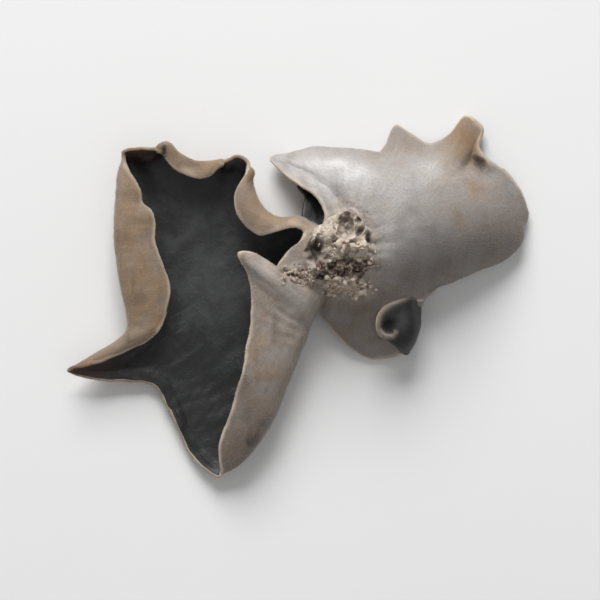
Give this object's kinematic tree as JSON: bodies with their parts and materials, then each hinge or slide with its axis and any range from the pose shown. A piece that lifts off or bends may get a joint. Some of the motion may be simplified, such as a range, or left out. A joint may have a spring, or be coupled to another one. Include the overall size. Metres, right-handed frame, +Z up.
{
  "type": "dried wood ear mushroom",
  "caption": "Dried wood ear: a dark cupped ear with rolled margins and a velvety domed ear grown together from one rough foot.",
  "frame": {"origin": "centre of the bounding box in plan, on the surface that the mushroom lies on", "axes": "+X from the dark cupped ear to the domed ear, +Y towards the dome's two small tips, +Z up"},
  "size_m": [0.1009, 0.0801, 0.0198],
  "materials": {
    "ear_flesh": "dark satin inner face, grey-tan velvety back, pale thin margin",
    "growing_medium": "dry crumbs, cream and dark brown"
  },
  "bodies": {
    "root": {"wood_ear": "ear_flesh", "growing_medium": "growing_medium"}
  },
  "joints": []
}
